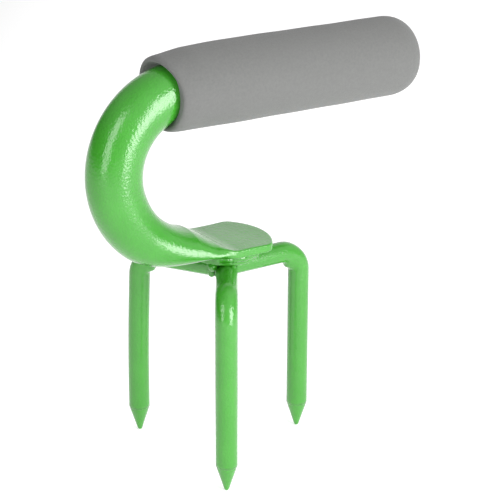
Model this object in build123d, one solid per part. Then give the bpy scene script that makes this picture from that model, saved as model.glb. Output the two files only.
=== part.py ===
from build123d import *
import math
import os

# A hand-held garden tool of welded steel: a tube bent into a C, with a closed foam
# grip on its upper arm, stands on three pointed prongs. The tube's lower end is pressed
# flat, and its flat end is welded to a small round disc. The three prongs are identical
# L-shaped round bars, 120 degrees apart, welded under that disc.
#
# Frame: +Z is up and z = 0 is at the tips of the prongs. +X runs along the grip, from
# the bend towards its closed end. The tool is symmetric about Y = 0. The origin is the
# bottom centre of the whole tool's box. All sizes are in millimetres.

# ---- driving dimensions ---------------------------------------------------------------
TUBE_R = 16.0             # outside radius of the handle tube
TUBE_WALL = 2.0
BEND_R = 45.0             # centreline radius of the C bend
BAR_R = 6.35              # radius of the prong bar
PRONG_CIRCLE_R = 55.9     # hub axis to each prong's vertical leg
PRONG_BEND_R = 13.0       # centreline radius of the prong's bend
PRONG_ARM_Z = 116.6       # height of the prong's horizontal arm
POINT_LENGTH = 16.0       # the cone at the end of each prong
POINT_TIP_R = 1.5         # the cone's blunt, rounded tip
HUB_OFFSET = 24.9         # from the centre of the C bend to the hub axis

DISC_R = 19.05            # the round disc between the prongs and the handle
DISC_THICKNESS = 6.35
DISC_OFFSET = 28.5        # from the centre of the C bend to the disc's centre

PRESSED_THICKNESS = 4.7   # two tube walls pressed together
PRESSED_HALF_WIDTH = 24.5
PRESSED_END = 54.0        # and to the middle of its arc-shaped end
END_ARC_R = 35.0
LOWER_ARM_DROP = 5.05     # the pressed end's mid-plane lies this far below the arm's axis

GRIP_R = 23.7
GRIP_START = -17.0        # from the bend's centre, so the foam reaches onto the bend
GRIP_END = 155.0          # from the bend's centre
GRIP_MOUTH_LENGTH = 9.0   # rounding of the foam's open end, along the axis
GRIP_MOUTH_DROP = 4.0     # and across it
GRIP_MOUTH_LIP = 2.5      # chamfer inside the open end
GRIP_NOSE_LENGTH = 14.0   # rounding of its closed end, along the axis
GRIP_NOSE_DROP = 7.5      # and across it

TUBE_END = 142.0          # where the tube stops inside the foam
PLUG_CAP_THICKNESS = 3.0
PLUG_DEPTH = 18.0
PLUG_WALL = 2.0

BEAD_R = 2.4              # weld beads

# ---- places worked out from them ------------------------------------------------------
ARM_Z = PRONG_ARM_Z + BAR_R + DISC_THICKNESS + PRESSED_THICKNESS / 2 + LOWER_ARM_DROP
BEND_Z = ARM_Z + BEND_R
GRIP_Z = BEND_Z + BEND_R
OVERALL_LENGTH = GRIP_END + BEND_R + TUBE_R
BEND_X = BEND_R + TUBE_R - OVERALL_LENGTH / 2
HUB_X = BEND_X + HUB_OFFSET
DISC_X = BEND_X + DISC_OFFSET
DISC_Z = PRONG_ARM_Z + BAR_R
PRESSED_Z = DISC_Z + DISC_THICKNESS
TUBE_BORE_R = TUBE_R - TUBE_WALL

# The flattening runs along the tube's centreline. Stations are lengths along it, counted
# from the end of the bend: negative ones are still on the bend. Heights are above it.
PRESS_FIRST = -55.0       # the tube is round up to here, and its inner wall starts to sink
SPREAD_FIRST = -35.0      # its sides start to spread here
BOTTOM_FIRST = -25.0      # and its outer wall starts to rise here
BOTTOM_LAST = 10.0        # the outer wall is flat from here
PRESS_LAST = 21.0         # and the inner wall from here
CREST_TOP = 9.0           # height of the inner wall where the bend ends
FLAT_TOP = PRESSED_THICKNESS / 2 - LOWER_ARM_DROP
FLAT_BOTTOM = -PRESSED_THICKNESS / 2 - LOWER_ARM_DROP
PRESS_STATIONS = (
    PRESS_FIRST, -47.0, -39.0, -31.0, -23.0, -15.0, -8.0, -1.0, 5.0, 10.0, 15.0, PRESS_LAST)
CAVITY_STATIONS = 11      # the tube's bore ends at this many of them
BLADE_START = 11.0        # the flat blade grows out of the tube from here


# ---- helpers --------------------------------------------------------------------------
def station_plane(station):
    """The plane across the tube's centreline at a station, with local +Y pointing up."""
    if station >= 0:
        place = Vector(BEND_X + station, 0, ARM_Z)
        along = Vector(1, 0, 0)
    else:
        angle = -station / BEND_R
        place = Vector(BEND_X - BEND_R * math.sin(angle), 0, BEND_Z - BEND_R * math.cos(angle))
        along = Vector(math.cos(angle), 0, -math.sin(angle))
    return Plane(origin=place, x_dir=(0, 1, 0), z_dir=along)


def share(value, first, last):
    """How far a value is on its way from first to last, from 0 to 1."""
    return min(1.0, max(0.0, (value - first) / (last - first)))


def pressed_section(station, wall=0.0):
    """One section of the tube on its way from round to flat, set in by wall.

    It is half of one ellipse on top of half of another, and it starts as a circle.
    """
    run = share(station, SPREAD_FIRST, PRESS_LAST)
    spread = run * run * (3 - 2 * run)
    half_width = TUBE_R + (PRESSED_HALF_WIDTH - TUBE_R) * spread - wall
    level = -LOWER_ARM_DROP * spread
    if station < 0:
        top = TUBE_R + (CREST_TOP - TUBE_R) * share(station, PRESS_FIRST, 0) ** 1.5
    else:
        top = CREST_TOP + (FLAT_TOP - CREST_TOP) * share(station, 0, PRESS_LAST) ** 1.2
    bottom = (FLAT_BOTTOM + TUBE_R) * share(station, BOTTOM_FIRST, BOTTOM_LAST) - TUBE_R
    upper = top - wall - level
    lower = level - bottom - wall
    outline = EllipticalCenterArc((0, level), half_width, upper, start_angle=0, arc_size=180)
    outline += EllipticalCenterArc((0, level), half_width, lower, start_angle=180, arc_size=180)
    return station_plane(station) * make_face(outline)


def bar_between(start, end, radius):
    """A round bar from one point to another, both Vectors."""
    along = end - start
    return extrude(Plane(origin=start, z_dir=along) * Circle(radius), along.length)


def turned(shape, degrees):
    """A copy of a shape that was built about the Z axis, turned and moved to the hub."""
    return Pos(HUB_X, 0, 0) * Rot(0, 0, degrees) * shape


# ---- handle ---------------------------------------------------------------------------
def round_tube(radius):
    """The round part of the tube as a solid rod: the upper arm and the bend."""
    upper = bar_between(Vector(BEND_X, 0, GRIP_Z), Vector(BEND_X + TUBE_END, 0, GRIP_Z), radius)
    section = Plane(origin=(BEND_X, 0, GRIP_Z), z_dir=(1, 0, 0)) * Circle(radius)
    hinge = Axis((BEND_X, 0, BEND_Z), (0, -1, 0))
    sweep_angle = 180 + math.degrees(PRESS_FIRST / BEND_R)
    return upper + revolve(section, hinge, sweep_angle)


def make_handle_tube():
    """The bent tube with its pressed end."""
    transition = loft([pressed_section(s) for s in PRESS_STATIONS])
    cavity = loft([pressed_section(s, TUBE_WALL) for s in PRESS_STATIONS[:CAVITY_STATIONS]])
    flat = station_plane(BLADE_START) * Pos(0, -LOWER_ARM_DROP) * SlotOverall(
        2 * PRESSED_HALF_WIDTH, PRESSED_THICKNESS)
    blade = extrude(flat, PRESSED_END - BLADE_START)
    end_disc = Pos(BEND_X + PRESSED_END - END_ARC_R, 0, PRESSED_Z) * Cylinder(
        END_ARC_R, 4 * PRESSED_THICKNESS)
    outer = round_tube(TUBE_R) + transition + (blade & end_disc)
    return outer - round_tube(TUBE_BORE_R) - cavity - make_hub_disc()


def make_tube_end_plug():
    """The plastic cup that caps the tube's cut end under the foam."""
    cap = bar_between(
        Vector(BEND_X + TUBE_END, 0, GRIP_Z),
        Vector(BEND_X + TUBE_END + PLUG_CAP_THICKNESS, 0, GRIP_Z), TUBE_R)
    inside = Vector(BEND_X + TUBE_END - PLUG_DEPTH, 0, GRIP_Z)
    cup = bar_between(inside, Vector(BEND_X + TUBE_END, 0, GRIP_Z), TUBE_BORE_R)
    hollow = bar_between(inside, Vector(BEND_X + TUBE_END, 0, GRIP_Z), TUBE_BORE_R - PLUG_WALL)
    return cap + (cup - hollow)


def make_foam_grip():
    """The foam sleeve: open at the bend, closed and rounded at its far end."""
    start = BEND_X + GRIP_START
    end = BEND_X + GRIP_END
    lip_r = TUBE_R + GRIP_MOUTH_LIP
    mouth_r = GRIP_R - GRIP_MOUTH_DROP
    rounded = start + GRIP_MOUTH_LENGTH
    shoulder = end - GRIP_NOSE_LENGTH
    profile = Polyline((start + GRIP_MOUTH_LIP, 0), (start + GRIP_MOUTH_LIP, TUBE_R), (start, lip_r))
    profile += Line((start, lip_r), (start, mouth_r))
    profile += EllipticalCenterArc(
        (rounded, mouth_r), GRIP_MOUTH_LENGTH, GRIP_MOUTH_DROP, start_angle=90, arc_size=90)
    profile += Line((rounded, GRIP_R), (shoulder, GRIP_R))
    profile += EllipticalCenterArc(
        (shoulder, GRIP_R - GRIP_NOSE_DROP), GRIP_NOSE_LENGTH, GRIP_NOSE_DROP,
        start_angle=0, arc_size=90)
    profile += Polyline((end, GRIP_R - GRIP_NOSE_DROP), (end, 0), (start + GRIP_MOUTH_LIP, 0))
    outline = Plane.XZ * make_face(profile)
    body = Pos(0, 0, GRIP_Z) * revolve(outline, Axis.X)
    plug_cap = bar_between(
        Vector(BEND_X + TUBE_END, 0, GRIP_Z),
        Vector(BEND_X + TUBE_END + PLUG_CAP_THICKNESS, 0, GRIP_Z), TUBE_R)
    return body - round_tube(TUBE_R) - plug_cap


# ---- prongs and hub -------------------------------------------------------------------
def prong_at_hub():
    """One prong whose arm runs along +X from the hub axis, before it is turned into place."""
    leg_top = PRONG_ARM_Z - PRONG_BEND_R
    arm_end = PRONG_CIRCLE_R - PRONG_BEND_R
    arm = bar_between(Vector(0, 0, PRONG_ARM_Z), Vector(arm_end, 0, PRONG_ARM_Z), BAR_R)
    section = Plane(origin=(arm_end, 0, PRONG_ARM_Z), z_dir=(1, 0, 0)) * Circle(BAR_R)
    bend = revolve(section, Axis((arm_end, 0, leg_top), (0, 1, 0)), 90)
    leg = bar_between(
        Vector(PRONG_CIRCLE_R, 0, POINT_LENGTH), Vector(PRONG_CIRCLE_R, 0, leg_top), BAR_R)
    half_angle = math.atan2(BAR_R - POINT_TIP_R, POINT_LENGTH - POINT_TIP_R)
    tip_out = (POINT_TIP_R * math.cos(half_angle), POINT_TIP_R * (1 - math.sin(half_angle)))
    profile = Polyline((0, POINT_LENGTH), (BAR_R, POINT_LENGTH), tip_out)
    profile += RadiusArc(tip_out, (0, 0), POINT_TIP_R)
    profile += Line((0, 0), (0, POINT_LENGTH))
    point = Pos(PRONG_CIRCLE_R, 0, 0) * revolve(Plane.XZ * make_face(profile), Axis.Z)
    whole = arm + bend + leg + point
    # The inner end is cut to a 120 degree point, so that the three arms meet face to face.
    reach = 4 * BAR_R
    for side in (1, -1):
        cutter = Pos(0, side * reach / 2, PRONG_ARM_Z) * Box(2 * reach, reach, reach)
        whole -= Rot(0, 0, side * 60) * cutter
    return whole


def make_hub_disc():
    """The round plate that joins the three prongs to the handle."""
    return extrude(Pos(DISC_X, 0, DISC_Z) * Circle(DISC_R), DISC_THICKNESS)


# ---- welds ----------------------------------------------------------------------------
def capsule(start, end, radius):
    """A round-ended weld bead."""
    ends = Pos(*start) * Sphere(radius) + Pos(*end) * Sphere(radius)
    return bar_between(start, end, radius) + ends


def disc_reach(degrees):
    """How far the disc reaches from the hub axis, in the direction of a prong."""
    shift = DISC_X - HUB_X
    across = shift * math.sin(math.radians(degrees))
    return shift * math.cos(math.radians(degrees)) + math.sqrt(DISC_R ** 2 - across ** 2)


def prong_weld(degrees):
    """The two beads along the top of a prong's arm, in its corners with the disc."""
    beads = []
    for side in (1, -1):
        across = side * BAR_R * 0.86
        low = DISC_Z - BEAD_R * 0.8
        start = Vector(BAR_R * 1.9, across, low)
        end = Vector(disc_reach(degrees) - 1.5 * BEAD_R, across, low)
        beads.append(turned(capsule(start, end, BEAD_R), degrees))
    return beads[0] + beads[1]


def hub_weld_at_hub():
    """The upright bead in the corner between two arms, on the bisector along +X."""
    out = BAR_R / math.sin(math.radians(60)) + 0.4
    low = Vector(out, 0, PRONG_ARM_Z - BAR_R * 0.45)
    high = Vector(out, 0, DISC_Z - BEAD_R)
    return capsule(low, high, BEAD_R)


def handle_weld_ring():
    """A bead round the disc's side, under the pressed end, as a whole ring."""
    section = Plane.XZ * Pos(DISC_R + BEAD_R * 0.1, PRESSED_Z - BEAD_R * 0.75) * Circle(BEAD_R)
    return Pos(DISC_X, 0, 0) * revolve(section, Axis.Z)


# ---- build ----------------------------------------------------------------------------
PRONG_ANGLES = {"front": 0, "left": 120, "right": 240}
CORNER_ANGLES = {"left": 60, "rear": 180, "right": 300}

nodes = {}
handle = make_handle_tube()
nodes["handle_tube"] = handle
nodes["tube_end_plug"] = make_tube_end_plug()
nodes["foam_grip"] = make_foam_grip()
nodes["hub_disc"] = make_hub_disc()
for name, angle in PRONG_ANGLES.items():
    nodes["prong_" + name] = turned(prong_at_hub(), angle)

arms = [nodes["prong_" + name] for name in PRONG_ANGLES]
corner_beads = {name: turned(hub_weld_at_hub(), angle) for name, angle in CORNER_ANGLES.items()}
for name, bead in corner_beads.items():
    for other in arms + [nodes["hub_disc"]]:
        bead -= other
    nodes["weld_hub_" + name] = bead

for name, angle in PRONG_ANGLES.items():
    beads = prong_weld(angle)
    for other in arms + [nodes["hub_disc"]]:
        beads -= other
    nodes["weld_prong_" + name] = beads

ring = handle_weld_ring() - nodes["hub_disc"] - handle
for name, side in (("left", 1), ("right", -1)):
    keep = Pos(DISC_X, side * 2 * DISC_R, PRESSED_Z) * Box(1.7 * DISC_R, 3.2 * DISC_R, DISC_R)
    nodes["weld_handle_" + name] = ring & keep

os.makedirs("parts", exist_ok=True)
for name, shape in nodes.items():
    export_step(shape, os.path.join("parts", name + ".step"))
    box = shape.bounding_box()
    print(name, [round(v, 2) for v in box.min], [round(v, 2) for v in box.max])
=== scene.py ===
import math

import bmesh
import bpy
import numpy as np
from mathutils import Matrix, Vector


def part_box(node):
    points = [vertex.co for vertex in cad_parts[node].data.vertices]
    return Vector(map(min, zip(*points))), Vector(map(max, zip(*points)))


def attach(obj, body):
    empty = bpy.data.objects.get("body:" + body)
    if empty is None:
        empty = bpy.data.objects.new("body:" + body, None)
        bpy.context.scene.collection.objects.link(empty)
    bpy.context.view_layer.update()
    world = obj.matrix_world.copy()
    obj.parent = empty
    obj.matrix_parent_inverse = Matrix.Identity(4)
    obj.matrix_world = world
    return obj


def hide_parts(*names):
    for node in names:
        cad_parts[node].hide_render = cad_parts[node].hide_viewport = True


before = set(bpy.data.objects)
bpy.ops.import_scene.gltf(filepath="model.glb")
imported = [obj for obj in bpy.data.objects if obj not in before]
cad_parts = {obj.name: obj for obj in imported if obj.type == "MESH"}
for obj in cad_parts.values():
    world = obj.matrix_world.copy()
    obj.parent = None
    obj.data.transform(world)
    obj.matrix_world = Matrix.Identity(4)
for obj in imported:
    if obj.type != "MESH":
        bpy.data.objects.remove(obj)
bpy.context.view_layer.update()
MM = 0.001

# A hand-held garden tool: a bent tube handle with a foam grip over three pointed prongs.
# Its prongs stand on the floor, z is up, and the grip runs along x. Places come from the
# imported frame. Lengths below are in millimetres until MM turns them into metres.

# ---- sizes of the steel -----------------------------------------------------------------
TUBE_R = 16.0
TUBE_WALL = 2.0
BEND_R = 45.0              # centreline radius of the C bend
BAR_R = 6.35
PRONG_BEND_R = 13.0
POINT_LENGTH = 16.0
POINT_TIP_R = 1.5

PRESS_FIRST = -55.0        # lengths along the tube's centreline from the end of the bend:
SPREAD_FIRST = -35.0       # where the inner wall starts to sink, the sides to spread,
BOTTOM_FIRST = -31.0       # and the outer wall to rise
BOTTOM_LAST = 13.0
PRESS_LAST = 21.0
FLAT_FIRST = 8.0           # between these the round section turns into a flat bar's
FLAT_LAST = PRESS_LAST + 1
BLADE_FIRST = PRESS_LAST + 1.5
BORE_END = -30.0           # the bore is modelled up to here, and the tube is solid beyond
SINK_POWER = 1.5           # above 1, the inner wall starts to sink gently
RAMP_STEEPENING = 0.12     # the ramp drops further by this share at its foot
CREST_TOP = 9.0            # height of the inner wall where the bend ends
PRESSED_HALF_WIDTH = 24.5
PRESSED_END = 54.0         # from the end of the bend to the tip
LOWER_ARM_DROP = 5.05      # the pressed end's mid-plane lies this far below the centreline
PRESSED_THICKNESS = 4.7
END_ARC_R = 35.0           # outline of the pressed end
END_CORNER_R = 7.0
FLAT_SHARE = 0.75          # share of a section's points that lie on its flat faces
EDGE_R = 0.9               # rounding of the blade's edges
BLADE_WAVE = 0.20          # unevenness of the pressed end
CREASE_SOFTNESS = 0.9      # rounding of the hollow where the ramp meets the flat

# ---- places, from the frame -------------------------------------------------------------
handle_low, handle_high = [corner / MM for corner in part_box("handle_tube")]
grip_low, grip_high = [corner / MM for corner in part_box("foam_grip")]
disc_low, disc_high = [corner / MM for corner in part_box("hub_disc")]
arm_low, arm_high = [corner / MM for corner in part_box("prong_front")]

GRIP_Z = handle_high.z - TUBE_R
BEND_X = handle_low.x + BEND_R + TUBE_R
BEND_Z = GRIP_Z - BEND_R
ARM_Z = BEND_Z - BEND_R
TUBE_END = handle_high.x - BEND_X
HUB_X = arm_low.x
PRONG_ARM_Z = arm_high.z - BAR_R
PRONG_REACH = arm_high.x - BAR_R - HUB_X
DISC_X = (disc_low.x + disc_high.x) / 2
DISC_R = (disc_high.x - disc_low.x) / 2
GRIP_R = grip_high.y
FLAT_TOP = PRESSED_THICKNESS / 2 - LOWER_ARM_DROP
FLAT_BOTTOM = -PRESSED_THICKNESS / 2 - LOWER_ARM_DROP
PRONG_ANGLES = {"front": 0, "left": 120, "right": 240}


# ---- mesh helpers -----------------------------------------------------------------------
def smooth(value, first, last):
    """A soft step from 0 to 1 as value goes from first to last."""
    t = np.clip((value - first) / (last - first), 0, 1)
    return t * t * (3 - 2 * t)


def share(value, first, last):
    """How far value is on its way from first to last, from 0 to 1."""
    return np.clip((value - first) / (last - first), 0, 1)


def link(name, mesh):
    """A new object in the scene for a mesh."""
    piece = bpy.data.objects.new(name, mesh)
    bpy.context.scene.collection.objects.link(piece)
    return piece


def weld_points(mesh):
    """Joins points that meet, and drops any that are loose."""
    work = bmesh.new()
    work.from_mesh(mesh)
    bmesh.ops.remove_doubles(work, verts=work.verts, dist=2e-6)
    loose = [v for v in work.verts if not v.link_faces]
    bmesh.ops.delete(work, geom=loose, context="VERTS")
    work.to_mesh(mesh)
    work.free()


def mesh_from_rings(name, rings, tip_closed=False):
    """A closed tube of quads through rings of points, in millimetres, with its ends filled.

    With tip_closed, the last ring is flat already, so that its points meet in pairs.
    """
    rings = np.asarray(rings)
    count, around, _ = rings.shape
    points = rings.reshape(-1, 3) * MM
    index = np.arange(count * around).reshape(count, around)
    nxt = np.roll(index, -1, axis=1)
    faces = np.stack([index[:-1], nxt[:-1], nxt[1:], index[1:]], axis=-1).reshape(-1, 4).tolist()
    points = np.vstack([points, rings[0].mean(axis=0) * MM, rings[-1].mean(axis=0) * MM])
    first, last = count * around, count * around + 1
    faces += [[first, int(b), int(a)] for a, b in zip(index[0], nxt[0])]
    if not tip_closed:
        faces += [[last, int(a), int(b)] for a, b in zip(index[-1], nxt[-1])]
    mesh = bpy.data.meshes.new(name)
    mesh.from_pydata(points.tolist(), [], faces)
    if tip_closed:
        weld_points(mesh)
    mesh.shade_smooth()
    mesh.update()
    return mesh


def face_outwards(mesh):
    """Turns a closed mesh's faces to look outwards."""
    volume = 0.0
    for polygon in mesh.polygons:
        volume += polygon.area * polygon.normal.dot(polygon.center)
    if volume < 0:
        mesh.flip_normals()
    mesh.update()


def add_piece(name, mesh, material, node):
    """Puts a finished mesh into the scene in place of a CAD node."""
    face_outwards(mesh)
    mesh.materials.append(material)
    piece = link(name, mesh)
    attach(piece, "root")
    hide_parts(node)
    return piece


# ---- materials --------------------------------------------------------------------------
def new_material(name):
    """A node material with an object-space position, and its shader."""
    material = bpy.data.materials.new(name)
    material.use_nodes = True
    nodes = material.node_tree.nodes
    shader = nodes["Principled BSDF"]
    coordinates = nodes.new("ShaderNodeTexCoord")
    return material, shader, coordinates.outputs["Object"]


def add_noise(material, position, scale, detail=2.0, roughness=0.5):
    """A noise texture's value, with scale in waves per metre."""
    noise = material.node_tree.nodes.new("ShaderNodeTexNoise")
    noise.inputs["Scale"].default_value = scale
    noise.inputs["Detail"].default_value = detail
    noise.inputs["Roughness"].default_value = roughness
    material.node_tree.links.new(position, noise.inputs["Vector"])
    return noise.outputs["Fac"]


def add_ramp(material, value, stops):
    """A colour ramp of (place, colour) stops."""
    ramp = material.node_tree.nodes.new("ShaderNodeValToRGB")
    elements = ramp.color_ramp.elements
    while len(elements) < len(stops):
        elements.new(0.5)
    for element, (place, colour) in zip(elements, stops):
        element.position = place
        element.color = (*colour, 1.0)
    material.node_tree.links.new(value, ramp.inputs["Fac"])
    return ramp.outputs["Color"]


def add_range(material, value, low, high):
    """Maps a 0 to 1 value onto low to high."""
    scale = material.node_tree.nodes.new("ShaderNodeMapRange")
    scale.inputs["To Min"].default_value = low
    scale.inputs["To Max"].default_value = high
    material.node_tree.links.new(value, scale.inputs["Value"])
    return scale.outputs["Result"]


def add_bump(material, height, strength, distance, normal=None):
    """A bump from a height value, on top of another bump's normal if given."""
    bump = material.node_tree.nodes.new("ShaderNodeBump")
    bump.inputs["Strength"].default_value = strength
    bump.inputs["Distance"].default_value = distance
    material.node_tree.links.new(height, bump.inputs["Height"])
    if normal is not None:
        material.node_tree.links.new(normal, bump.inputs["Normal"])
    return bump.outputs["Normal"]


def powder_coat():
    """Glossy green powder coat with fine orange peel."""
    material, shader, position = new_material("green_powder_coat")
    links = material.node_tree.links
    mottle = add_noise(material, position, 55.0, detail=4.0)
    colour = add_ramp(material, mottle, [(0.3, GREEN_DEEP), (0.7, GREEN_LIGHT)])
    links.new(colour, shader.inputs["Base Color"])
    patches = add_noise(material, position, 160.0, detail=3.0)
    links.new(add_range(material, patches, 0.12, 0.19), shader.inputs["Roughness"])
    waves = add_noise(material, position, 700.0, detail=2.0)
    peel = add_bump(material, waves, 0.7, 0.00038)
    swells = add_noise(material, position, 260.0, detail=1.0)
    links.new(add_bump(material, swells, 0.3, 0.00025, peel), shader.inputs["Normal"])
    shader.inputs["Specular IOR Level"].default_value = 0.7
    shader.inputs["Coat Weight"].default_value = 0.25
    shader.inputs["Coat Roughness"].default_value = 0.12
    return material


def foam():
    """Matt grey closed-cell foam with a fine grain."""
    material, shader, position = new_material("grey_foam")
    links = material.node_tree.links
    cloud = add_noise(material, position, 700.0, detail=4.0, roughness=0.6)
    colour = add_ramp(material, cloud, [(0.25, FOAM_DARK), (0.75, FOAM_LIGHT)])
    links.new(colour, shader.inputs["Base Color"])
    pores = add_noise(material, position, 2600.0, detail=3.0, roughness=0.7)
    grain = add_bump(material, pores, 0.5, 0.00025)
    lumps = add_noise(material, position, 300.0, detail=2.0)
    links.new(add_bump(material, lumps, 0.2, 0.0004, grain), shader.inputs["Normal"])
    links.new(add_range(material, pores, 0.75, 0.95), shader.inputs["Roughness"])
    shader.inputs["Sheen Weight"].default_value = 0.15
    shader.inputs["Sheen Roughness"].default_value = 0.6
    shader.inputs["Specular IOR Level"].default_value = 0.25
    return material


def black_plastic():
    """The end plug's moulded plastic."""
    material, shader, position = new_material("black_plastic")
    links = material.node_tree.links
    cloud = add_noise(material, position, 200.0, detail=3.0)
    colour = add_ramp(material, cloud, [(0.3, (0.012, 0.012, 0.013)), (0.7, (0.03, 0.03, 0.032))])
    links.new(colour, shader.inputs["Base Color"])
    links.new(add_range(material, cloud, 0.45, 0.6), shader.inputs["Roughness"])
    grain = add_noise(material, position, 900.0)
    links.new(add_bump(material, grain, 0.2, 0.0001), shader.inputs["Normal"])
    return material


GREEN_DEEP = (0.030, 0.248, 0.011)
GREEN_LIGHT = (0.038, 0.278, 0.016)
FOAM_DARK = (0.120, 0.122, 0.118)
FOAM_LIGHT = (0.142, 0.144, 0.140)
GREEN = powder_coat()
FOAM = foam()
PLASTIC = black_plastic()


# ---- handle -----------------------------------------------------------------------------
def centreline(station):
    """The tube centreline's point at a station, and the direction towards the bend's centre."""
    bend_length = math.pi * BEND_R
    if station >= 0:
        return np.array([BEND_X + station, 0, ARM_Z]), np.array([0.0, 0, 1])
    if station < -bend_length:
        return np.array([BEND_X - station - bend_length, 0, GRIP_Z]), np.array([0.0, 0, -1])
    angle = -station / BEND_R
    inwards = np.array([math.sin(angle), 0, math.cos(angle)])
    return np.array([BEND_X, 0, BEND_Z]) - BEND_R * inwards, inwards


def press_profile(station):
    """Half width, top, bottom and widest height of the tube's section at a station."""
    spread = smooth(station, SPREAD_FIRST, PRESS_LAST)
    half_width = TUBE_R + (PRESSED_HALF_WIDTH - TUBE_R) * spread
    level = -LOWER_ARM_DROP * spread
    if station < 0:
        top = TUBE_R + (CREST_TOP - TUBE_R) * share(station, PRESS_FIRST, 0) ** SINK_POWER
    else:
        slope = (CREST_TOP - FLAT_TOP) / PRESS_LAST
        steeper = 1 + RAMP_STEEPENING * share(station, 0, PRESS_LAST)
        above = CREST_TOP - FLAT_TOP - slope * station * steeper
        above = CREASE_SOFTNESS * np.logaddexp(0, above / CREASE_SOFTNESS)
        top = FLAT_TOP + above
    bottom = (FLAT_BOTTOM + TUBE_R) * smooth(station, BOTTOM_FIRST, BOTTOM_LAST) - TUBE_R
    return half_width, top, bottom, level


def oval(around, half_width, top, bottom, level):
    """Half of one ellipse on top of half of another, as (side, height) pairs."""
    side = half_width * np.cos(around)
    rise = np.where(np.sin(around) > 0, top - level, level - bottom) * np.sin(around)
    return side, level + rise


def edge_profile(share_round):
    """Out and up across half of a bar's side, from its flat face to the side's middle."""
    half = PRESSED_THICKNESS / 2
    straight = half - EDGE_R
    arc = EDGE_R * math.pi / 2
    run = share_round * (2 * straight + arc)
    turn = np.clip((run - straight) / arc, 0, 1) * math.pi / 2
    out = np.minimum(run, straight) + EDGE_R * np.sin(turn)
    up = straight + EDGE_R * np.cos(turn) - np.clip(run - straight - arc, 0, straight)
    return out, up


def flat_bar(around, half_width, top, bottom):
    """A bar with round edges and flat faces, with points spread as the oval's are."""
    half = (top - bottom) / 2
    middle = (top + bottom) / 2
    flat = half_width - half
    cosine = np.cos(around)
    out, up = edge_profile(np.clip((np.abs(cosine) - FLAT_SHARE) / (1 - FLAT_SHARE), 0, 1))
    scale = half / (PRESSED_THICKNESS / 2)
    side = np.where(np.abs(cosine) <= FLAT_SHARE, cosine / FLAT_SHARE * flat,
                    np.sign(cosine) * (flat + scale * out))
    return side, middle + np.sign(np.sin(around)) * scale * up


def blade_outline():
    """The blade's outline, set in by half its thickness, and its outward directions.

    Both are functions of a place from -1 at one side to 1 at the other, round the tip.
    """
    half = PRESSED_THICKNESS / 2
    arc_r = END_ARC_R - half
    corner_r = END_CORNER_R - half
    flat = PRESSED_HALF_WIDTH - half
    centre_x = PRESSED_END - END_ARC_R
    corner_y = flat - corner_r
    corner_x = centre_x + math.sqrt((arc_r - corner_r) ** 2 - corner_y ** 2)
    meeting = math.atan2(corner_y, corner_x - centre_x)
    turns = np.linspace(math.pi / 2, meeting, 40)
    corner = np.stack([corner_x + corner_r * np.cos(turns),
                       corner_y + corner_r * np.sin(turns)], axis=-1)
    sweep = np.linspace(meeting, 0, 60)[1:]
    tip = np.stack([centre_x + arc_r * np.cos(sweep), arc_r * np.sin(sweep)], axis=-1)
    half_points = np.vstack([corner, tip])
    half_turns = np.concatenate([turns, sweep])
    points = np.vstack([half_points, half_points[-2::-1] * (1, -1)])[::-1]
    directions = np.concatenate([half_turns, -half_turns[-2::-1]])[::-1]
    steps = np.linalg.norm(np.diff(points, axis=0), axis=1)
    length = np.concatenate([[0], np.cumsum(steps)])
    place = length / length[-1] * 2 - 1
    return place, points, directions


def tube_ring(station, around, inset=0.0):
    """One ring of the tube's surface, set in from the outside by inset."""
    half_width, top, bottom, level = press_profile(station)
    side, height = oval(around, half_width - inset, top - inset, bottom + inset, level)
    flatness = smooth(station, FLAT_FIRST, FLAT_LAST)
    if flatness > 0:
        flat_side, flat_height = flat_bar(around, half_width, top, bottom)
        side = side + (flat_side - side) * flatness
        height = height + (flat_height - height) * flatness
    place, inwards = centreline(station)
    return place + np.outer(side, (0, 1, 0)) + np.outer(height, inwards)


def blade_ring(run, around, outline, roll=0.0):
    """One ring of the flat blade.

    run goes from 0 where the blade starts to 1 at its tip, and then roll goes from 0 at
    the tip's upper face to 1 at the middle of its edge.
    """
    place, points, directions = outline
    half = PRESSED_THICKNESS / 2
    middle = (FLAT_TOP + FLAT_BOTTOM) / 2
    cosine = np.cos(around)
    spot = np.clip(cosine / FLAT_SHARE, -1, 1)
    reach, up = edge_profile(np.maximum(roll, share(np.abs(cosine), FLAT_SHARE, 1)))
    end = np.stack([np.interp(spot, place, points[:, i]) for i in (0, 1)], axis=-1)
    outwards = np.interp(spot, place, directions)
    start_y = spot * (PRESSED_HALF_WIDTH - half)
    start = np.stack([np.full_like(spot, BLADE_FIRST), start_y], axis=-1)
    plan = start + (end - start) * run
    x = plan[:, 0] + reach * np.cos(outwards) * (roll > 0)
    y = plan[:, 1] + reach * np.where(roll > 0, np.sin(outwards), np.sign(cosine))
    height = middle + np.sign(np.sin(around)) * up
    sag = BLADE_WAVE * np.sin(plan[:, 0] * 0.13 + plan[:, 1] * 0.07) * run
    return np.stack([BEND_X + x, y, ARM_Z + height + sag], axis=-1)


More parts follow.
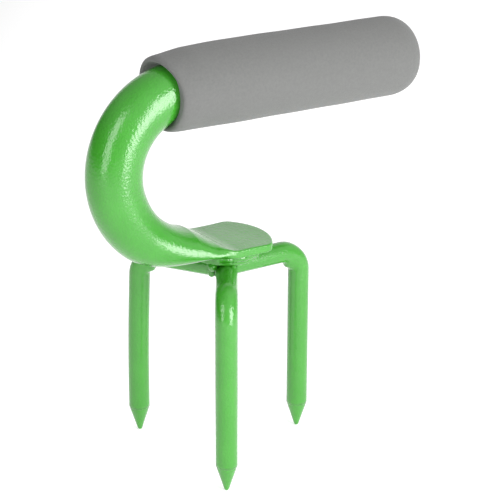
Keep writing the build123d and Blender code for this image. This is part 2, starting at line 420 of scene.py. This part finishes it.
def handle_mesh():
    """The bent tube, hollow from its cut end to BORE_END, with a flat, rounded tip."""
    around = np.linspace(0, 2 * math.pi, 144, endpoint=False)
    cut_end = -(math.pi * BEND_R + TUBE_END)
    stations = np.concatenate([
        np.linspace(cut_end, -math.pi * BEND_R, 24, endpoint=False),
        np.linspace(-math.pi * BEND_R, PRESS_FIRST, 70, endpoint=False),
        np.linspace(PRESS_FIRST, 0, 60, endpoint=False),
        np.linspace(0, FLAT_LAST, 44)])
    bore = [s for s in stations if s < BORE_END]
    rings = [tube_ring(s, around, TUBE_WALL) for s in reversed(bore)]
    rings += [tube_ring(s, around) for s in stations]
    outline = blade_outline()
    rings += [blade_ring(run, around, outline) for run in np.linspace(0, 1, 24)]
    steps = share(np.abs(np.cos(around)), FLAT_SHARE, 1)
    rolls = np.unique(steps[steps > 0].round(9))
    rings += [blade_ring(1.0, around, outline, roll) for roll in rolls]
    return mesh_from_rings("handle", rings, tip_closed=True)


add_piece("handle", handle_mesh(), GREEN, "handle_tube")


# ---- foam grip --------------------------------------------------------------------------
GRIP_TAPER = 1.0           # the sleeve is this much thinner at its mouth
GRIP_TAPER_LENGTH = 45.0
NOSE_LENGTH = 14.0
NOSE_DROP = 7.5
TUBE_DROP = 1.7            # the bend has lowered the tube by this much where the mouth meets it
MOUTH_DROP = 1.1           # and the mouth's rim by this much
MOUTH_SQUASH = 0.8         # the rim is this much lower than it's wide
MOUTH_EVEN = 2.75          # how far in the rim lies on average at its sides and underneath,
MOUTH_TOP = 3.75           # how much further it reaches along the top,
MOUTH_SIDE = 1.75          # and how much further in it lies on the right than on average
MOUTH_SHAPE = [            # from the bore to the outside: distance in from the rim, radius
    (22.0, 16.05), (12.0, 16.05), (7.0, 16.05), (5.6, 16.1), (5.0, 16.6), (4.2, 17.2),
    (3.0, 17.8), (1.8, 18.4), (0.8, 19.0), (0.2, 19.7), (0.05, 20.4), (0.35, 21.1),
    (1.0, 21.7), (2.0, 22.1), (3.4, 22.4), (5.5, 22.6), (8.0, 22.7)]


def grip_profile():
    """The sleeve's outline from inside its mouth to the tip of its nose, as (x, radius)."""
    mouth = grip_low.x
    nose = grip_high.x
    outline = [(mouth + into, radius) for into, radius in MOUTH_SHAPE]
    body_start = outline[-1][0]
    for x in np.linspace(body_start, nose - NOSE_LENGTH, 90)[1:-1]:
        taper = GRIP_TAPER * (1 - smooth(x, body_start - 8, body_start + GRIP_TAPER_LENGTH))
        outline.append((x, GRIP_R - taper))
    for turn in np.linspace(0, math.pi / 2, 24):
        outline.append((nose - NOSE_LENGTH + NOSE_LENGTH * math.sin(turn),
                        GRIP_R - NOSE_DROP + NOSE_DROP * math.cos(turn)))
    for r in np.linspace(GRIP_R - NOSE_DROP, 0.4, 12)[1:]:
        outline.append((nose, r))
    return outline


def grip_mesh():
    """The foam sleeve, whose mouth hugs the bend. It is solid beyond a short bore."""
    around = np.linspace(0, 2 * math.pi, 160, endpoint=False)
    over = np.clip(np.cos(around), 0, 1) ** 2
    rings = []
    for x, radius in grip_profile():
        bend = smooth(BEND_X + 4 - x, 0, 18)
        rim = smooth(radius, TUBE_R + 0.2, TUBE_R + 3.5)
        shift = bend * rim * (MOUTH_EVEN - MOUTH_TOP * over - MOUTH_SIDE * np.sin(around))
        drop = bend * (TUBE_DROP + (MOUTH_DROP - TUBE_DROP) * rim)
        ripple = 0.12 * np.sin(3 * around + x * 0.11) * math.sin(x * 0.07 + 1.0)
        ripple += 0.07 * np.sin(5 * around - x * 0.05)
        reach = radius + ripple * smooth(radius, TUBE_R + 1, GRIP_R - 2)
        reach = reach - MOUTH_SQUASH * bend * rim * np.cos(around) ** 2
        rings.append(np.stack([
            x + shift, reach * np.sin(around), GRIP_Z - drop + reach * np.cos(around)], axis=-1))
    return mesh_from_rings("grip", rings)


grip = add_piece("grip", grip_mesh(), FOAM, "foam_grip")


# ---- prongs -----------------------------------------------------------------------------
INNER_BULGE = 2.1          # the metal pushed into the inner corner of each bend
OUTER_FLAT = 0.5           # and drawn off its outer corner
PRONG_LEAN = {"front": 0.0, "left": 1.0, "right": 0.0}    # degrees that a leg leans
PRONG_BOW = {"front": 0.0, "left": 1.1, "right": 0.0}     # how far a leg bows outwards
BOW_SPAN = (-10, 112)      # heights between which a leg bows
SHOULDER_DEPTH = 0.25      # rounding where the cone starts,
SHOULDER_REACH = 0.08      # and how far down the cone it goes, as a share of its length
ARM_SWING = {"front": 0.0, "left": 0.0, "right": -3.8}    # degrees that an arm is out of line


def prong_rings(lean, bow, swing):
    """Rings of one prong whose arm runs along +X from the hub axis at the origin."""
    around = np.linspace(0, 2 * math.pi, 72, endpoint=False)
    across, rise = np.cos(around), np.sin(around)
    arm_end = PRONG_REACH - PRONG_BEND_R
    rings = []
    mitre = np.abs(BAR_R * across) / math.tan(math.radians(60))
    for run in np.linspace(0, 1, 30, endpoint=False):
        x = mitre + (arm_end - mitre) * run
        rings.append(np.stack([x, BAR_R * across, PRONG_ARM_Z + BAR_R * rise], axis=-1))
    centre = np.array([arm_end, 0, PRONG_ARM_Z - PRONG_BEND_R])
    for angle in np.linspace(0, math.pi / 2, 40):
        out = np.array([math.sin(angle), 0, math.cos(angle)])
        corner = math.sin(2 * angle) ** 2
        swell = np.where(rise < 0, INNER_BULGE * rise ** 2, -OUTER_FLAT * rise ** 2)
        radius = BAR_R + corner * swell
        point = centre + PRONG_BEND_R * out
        rings.append(point + np.outer(radius * rise, out) + np.outer(BAR_R * across, (0, 1, 0)))
    leg_top = PRONG_ARM_Z - PRONG_BEND_R
    for z in np.linspace(leg_top, POINT_LENGTH, 60)[1:]:
        rings.append(np.stack([PRONG_REACH + BAR_R * rise, BAR_R * across, 0 * across + z], axis=-1))
    for z, radius in point_profile():
        rings.append(np.stack([PRONG_REACH + radius * rise, radius * across, 0 * across + z], axis=-1))
    rings = np.array(rings)
    # The lean turns the leg about its tip, and the arm shortens with it.
    slope = math.tan(math.radians(lean))
    follow = share(rings[..., 0], BAR_R * 2, arm_end)
    rings[..., 0] -= slope * rings[..., 2] * follow
    rings[..., 0] += bow * np.sin(math.pi * share(rings[..., 2], *BOW_SPAN)) * follow
    angle = math.radians(swing)
    from_leg = rings[..., 0] - PRONG_REACH
    across_leg = rings[..., 1].copy()
    rings[..., 0] = PRONG_REACH + from_leg * math.cos(angle) - across_leg * math.sin(angle)
    rings[..., 1] = from_leg * math.sin(angle) + across_leg * math.cos(angle)
    return rings


def point_profile():
    """The cone at a prong's end with its soft shoulder and blunt tip, as (z, radius)."""
    half_angle = math.atan2(BAR_R - POINT_TIP_R, POINT_LENGTH - POINT_TIP_R)
    tip_r = POINT_TIP_R * math.cos(half_angle)
    tip_z = POINT_TIP_R * (1 - math.sin(half_angle))
    profile = []
    for t in np.linspace(0, 1, 16):
        z = POINT_LENGTH + (tip_z - POINT_LENGTH) * t
        radius = BAR_R + (tip_r - BAR_R) * t
        profile.append((z, radius - SHOULDER_DEPTH * math.exp(-(t / SHOULDER_REACH) ** 2)))
    for turn in np.linspace(half_angle, math.pi / 2, 8)[1:]:
        radius = max(0.02, POINT_TIP_R * math.cos(turn))
        profile.append((POINT_TIP_R * (1 - math.sin(turn)), radius))
    return profile


def turned(points, degrees):
    """Points built about the hub axis at the origin, turned and moved to the hub."""
    angle = math.radians(degrees)
    x = points[..., 0] * math.cos(angle) - points[..., 1] * math.sin(angle)
    y = points[..., 0] * math.sin(angle) + points[..., 1] * math.cos(angle)
    return np.stack([x + HUB_X, y, points[..., 2]], axis=-1)


for side, degrees in PRONG_ANGLES.items():
    name = "prong_" + side
    rings = prong_rings(PRONG_LEAN[side], PRONG_BOW[side], ARM_SWING[side])
    mesh = mesh_from_rings(name, turned(rings, degrees))
    add_piece(name + "_bar", mesh, GREEN, name)


# ---- hub disc ---------------------------------------------------------------------------
def disc_mesh():
    """The round plate, with a small rounding on both of its edges."""
    around = np.linspace(0, 2 * math.pi, 160, endpoint=False)
    edge_r = 0.8
    outline = [(r, disc_low.z) for r in np.linspace(0.5, DISC_R - edge_r, 8)]
    turns = np.linspace(0, math.pi / 2, 7)
    ins = edge_r * (1 - np.sin(turns))
    ups = edge_r * (1 - np.cos(turns))
    outline += [(DISC_R - i, disc_low.z + u) for i, u in zip(ins[1:], ups[1:])]
    outline += [(DISC_R - u, disc_high.z - i) for i, u in zip(ins, ups)]
    outline += [(r, disc_high.z) for r in np.linspace(DISC_R - edge_r, 0.5, 8)[1:]]
    rings = [np.stack([DISC_X + r * np.cos(around), r * np.sin(around), 0 * around + z], axis=-1)
             for r, z in outline]
    return mesh_from_rings("disc", rings)


add_piece("disc", disc_mesh(), GREEN, "hub_disc")


# ---- weld beads -------------------------------------------------------------------------
BEAD_R = 2.4
RIPPLE_LENGTH = 1.9        # distance between two ripples of a bead
random = np.random.default_rng(7)


def bead_rings(path, radius):
    """Rings of a rippled weld bead along a path of points, with round ends."""
    path = np.asarray(path, float)
    steps = np.linalg.norm(np.diff(path, axis=0), axis=1)
    length = np.concatenate([[0], np.cumsum(steps)])
    total = length[-1]
    count = max(24, int(total / 0.25))
    run = total * (1 - np.cos(np.linspace(0, math.pi, count))) / 2
    points = np.stack([np.interp(run, length, path[:, i]) for i in range(3)], axis=-1)
    along = np.gradient(points, axis=0)
    along /= np.linalg.norm(along, axis=1)[:, None]
    around = np.linspace(0, 2 * math.pi, 28, endpoint=False)
    phase = random.uniform(0, 2 * math.pi, 3)
    rings = []
    for point, direction, place in zip(points, along, run):
        flat = np.cross(direction, (0, 0, 1.0))
        if np.linalg.norm(flat) < 0.2:
            flat = np.cross(direction, (1.0, 0, 0))
        flat /= np.linalg.norm(flat)
        up = np.cross(flat, direction)
        from_end = min(place, total - place) / radius
        cap = math.sqrt(max(0.0004, 1 - max(0, 1 - from_end) ** 2))
        ripple = 0.09 * abs(math.sin(math.pi * place / RIPPLE_LENGTH)) ** 0.6
        wander = 0.07 * math.sin(place * 0.55 + phase[0]) + 0.05 * math.sin(place * 1.3 + phase[1])
        lumps = 0.06 * np.sin(3 * around + place * 0.8 + phase[2])
        size = radius * cap * (0.94 + ripple + wander + lumps)
        ring = np.outer(size * np.cos(around), flat) + np.outer(size * np.sin(around), up)
        rings.append(point + ring)
    return rings


def join_meshes(name, meshes):
    """Several closed meshes as one."""
    points, faces = [], []
    for mesh in meshes:
        face_outwards(mesh)
        base = len(points)
        points += [v.co.copy() for v in mesh.vertices]
        faces += [[base + i for i in polygon.vertices] for polygon in mesh.polygons]
        bpy.data.meshes.remove(mesh)
    joined = bpy.data.meshes.new(name)
    joined.from_pydata(points, [], faces)
    joined.shade_smooth()
    joined.update()
    return joined


def line(start, end, count=12):
    """Points along a straight line."""
    return np.linspace(start, end, count)


def disc_reach(degrees):
    """How far the disc reaches from the hub axis, in the direction of a prong."""
    shift = DISC_X - HUB_X
    across = shift * math.sin(math.radians(degrees))
    return shift * math.cos(math.radians(degrees)) + math.sqrt(DISC_R ** 2 - across ** 2)


HUB_BEAD_OUT = 0.2         # the bead's middle lies this far out of the corner,
HUB_BEAD_SKEW = (1.2, 0.6)     # its foot this far in, and this far to one side
HUB_BEAD_SHARE = 0.8       # its radius, against the other beads'
RIM_BEAD_SPAN = (34, 146)      # degrees round the disc from +X
HUB_BEAD_FOOT = {"left": 0.5, "rear": 0.8, "right": 0.2}    # depth below the arms, in bar radii


def hub_corner_bead(corner, degrees):
    """The upright bead in the corner between two arms."""
    out = BAR_R / math.sin(math.radians(60)) + HUB_BEAD_OUT
    foot = PRONG_ARM_Z - BAR_R * HUB_BEAD_FOOT[corner]
    inwards, sideways = HUB_BEAD_SKEW
    path = line((out - inwards, sideways, foot), (out, 0, disc_low.z - 0.5))
    radius = BEAD_R * HUB_BEAD_SHARE
    return [mesh_from_rings("bead", turned(np.array(bead_rings(path, radius)), degrees))]


def arm_beads(degrees):
    """The two beads along the top of a prong's arm, in its corners with the disc."""
    meshes = []
    for side in (1, -1):
        across = side * BAR_R * 0.86
        low = disc_low.z - BEAD_R * 0.75
        path = line((BAR_R * 1.5, across, low), (disc_reach(degrees) - 0.4 * BEAD_R, across, low))
        rings = turned(np.array(bead_rings(path, BEAD_R)), degrees)
        meshes.append(mesh_from_rings("bead", rings))
    return meshes


def rim_bead(side):
    """The bead round the disc's side, under the pressed end."""
    reach = DISC_R + BEAD_R * 0.1
    angles = np.radians(np.linspace(*RIM_BEAD_SPAN, 40)) * side
    level = disc_high.z - BEAD_R * 0.75
    path = np.stack([
        DISC_X + reach * np.cos(angles), reach * np.sin(angles), 0 * angles + level], axis=-1)
    return [mesh_from_rings("bead", bead_rings(path, BEAD_R))]


for corner, degrees in {"left": 60, "rear": 180, "right": 300}.items():
    mesh = join_meshes("hub_bead", hub_corner_bead(corner, degrees))
    add_piece("bead_hub_" + corner, mesh, GREEN, "weld_hub_" + corner)
for side, degrees in PRONG_ANGLES.items():
    mesh = join_meshes("arm_beads", arm_beads(degrees))
    add_piece("beads_prong_" + side, mesh, GREEN, "weld_prong_" + side)
for side, sign in {"left": 1, "right": -1}.items():
    mesh = join_meshes("rim_bead", rim_bead(sign))
    add_piece("bead_handle_" + side, mesh, GREEN, "weld_handle_" + side)

# ---- the plug stays as it is ------------------------------------------------------------
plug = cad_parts["tube_end_plug"]
plug.data.materials.clear()
plug.data.materials.append(PLASTIC)


# ---- floor, light and camera ------------------------------------------------------------
# Seen from above, the camera looks along AWAY, with RIGHTWARDS on its right. The floor's
# glow and the surround's brightness are laid out along these directions, fixed in the scene.
RIGHTWARDS = (0.827, -0.5625, 0.0)
AWAY = (0.5625, 0.827, 0.0)
TOWARDS = (-0.5625, -0.827, 0.0)
UPWARDS = (0.0, 0.0, 1.0)


def make_floor():
    """A pale floor with a slight glow that fades to one side. It isn't part of the object."""
    half = 6.0
    mesh = bpy.data.meshes.new("floor")
    corners = [(-half, -half, 0), (half, -half, 0), (half, half, 0), (-half, half, 0)]
    mesh.from_pydata(corners, [], [(0, 1, 2, 3)])
    material, shader, position = new_material("pale_floor")
    cloud = add_noise(material, position, 3.0)
    colour = add_ramp(material, cloud, [(0.3, (0.90, 0.90, 0.90)), (0.7, (0.93, 0.93, 0.93))])
    material.node_tree.links.new(colour, shader.inputs["Base Color"])
    shader.inputs["Roughness"].default_value = 0.9
    shader.inputs["Specular IOR Level"].default_value = 0.1
    shader.inputs["Emission Color"].default_value = (1.0, 1.0, 1.0, 1.0)
    across = material.node_tree.nodes.new("ShaderNodeVectorMath")
    across.operation = "DOT_PRODUCT"
    across.inputs[1].default_value = RIGHTWARDS
    material.node_tree.links.new(position, across.inputs[0])
    fade = material.node_tree.nodes.new("ShaderNodeMapRange")
    fade.interpolation_type = "SMOOTHSTEP"
    fade.inputs["From Min"].default_value = -0.45
    fade.inputs["From Max"].default_value = -0.15
    fade.inputs["To Min"].default_value = 0.14
    fade.inputs["To Max"].default_value = 0.36
    material.node_tree.links.new(across.outputs["Value"], fade.inputs["Value"])
    material.node_tree.links.new(fade.outputs["Result"], shader.inputs["Emission Strength"])
    mesh.materials.append(material)
    floor = link("floor", mesh)


def add_light(name, azimuth, elevation, distance, size, power):
    """A soft rectangular light that looks at the tool. Azimuth 0 is +Y, and 90 is +X."""
    light = bpy.data.lights.new(name, "AREA")
    light.shape = "RECTANGLE"
    light.size, light.size_y = size
    light.energy = power
    lamp = bpy.data.objects.new(name, light)
    bpy.context.scene.collection.objects.link(lamp)
    a, e = math.radians(azimuth), math.radians(elevation)
    out = Vector((math.sin(a) * math.cos(e), math.cos(a) * math.cos(e), math.sin(e)))
    target = Vector((0, 0, 0.15))
    lamp.location = target + out * distance
    lamp.rotation_euler = out.to_track_quat("Z", "Y").to_euler()


def make_sky():
    """A pale surround that is darker on the left and brightest behind the tool."""
    world = bpy.data.worlds.new("studio")
    bpy.context.scene.world = world
    world.use_nodes = True
    nodes = world.node_tree.nodes
    links = world.node_tree.links
    direction = nodes.new("ShaderNodeTexCoord").outputs["Generated"]
    total = None
    for towards, first, last, strength in (
            (RIGHTWARDS, -0.45, 0.6, 0.60),
            (AWAY, 0.75, 0.95, 0.70),
            (TOWARDS, 0.2, 0.95, 0.30),
            (UPWARDS, 0.1, 0.9, 0.45)):
        dot = nodes.new("ShaderNodeVectorMath")
        dot.operation = "DOT_PRODUCT"
        dot.inputs[1].default_value = towards
        links.new(direction, dot.inputs[0])
        step = nodes.new("ShaderNodeMapRange")
        step.interpolation_type = "SMOOTHSTEP"
        step.inputs["From Min"].default_value = first
        step.inputs["From Max"].default_value = last
        step.inputs["To Min"].default_value = 0.02
        step.inputs["To Max"].default_value = 0.02 + strength
        links.new(dot.outputs["Value"], step.inputs["Value"])
        if total is None:
            total = step.outputs["Result"]
        else:
            add = nodes.new("ShaderNodeMath")
            add.operation = "ADD"
            links.new(total, add.inputs[0])
            links.new(step.outputs["Result"], add.inputs[1])
            total = add.outputs["Value"]
    background = nodes["Background"]
    background.inputs["Color"].default_value = (1.0, 1.0, 1.0, 1.0)
    links.new(total, background.inputs["Strength"])


CAMERA_PLACE = Vector((-0.53826, -0.78899, 0.46722))


def make_camera():
    """The camera, which looks down on the tool from beside its bend."""
    back_azimuth = math.radians(-34.23)
    elevation = math.radians(19.86)
    roll = math.radians(0.21)
    back = Vector((math.sin(back_azimuth) * math.cos(elevation),
                   -math.cos(back_azimuth) * math.cos(elevation), math.sin(elevation)))
    right = Vector((math.cos(back_azimuth), math.sin(back_azimuth), 0))
    up = back.cross(right)
    right_rolled = right * math.cos(roll) + up * math.sin(roll)
    up_rolled = up * math.cos(roll) - right * math.sin(roll)
    data = bpy.data.cameras.new("camera")
    data.sensor_width = 36.0
    data.lens = 124.19
    camera = bpy.data.objects.new("camera", data)
    bpy.context.scene.collection.objects.link(camera)
    turn = Matrix((right_rolled, up_rolled, back)).transposed()
    camera.matrix_world = Matrix.Translation(CAMERA_PLACE) @ turn.to_4x4()
    bpy.context.scene.camera = camera


make_floor()
make_sky()
make_camera()
add_light("key", 167, 12, 0.85, (0.44, 0.66), 7.2)
add_light("side", -109, 22, 1.1, (0.38, 1.0), 4.4)
bpy.context.scene.view_settings.view_transform = "Standard"
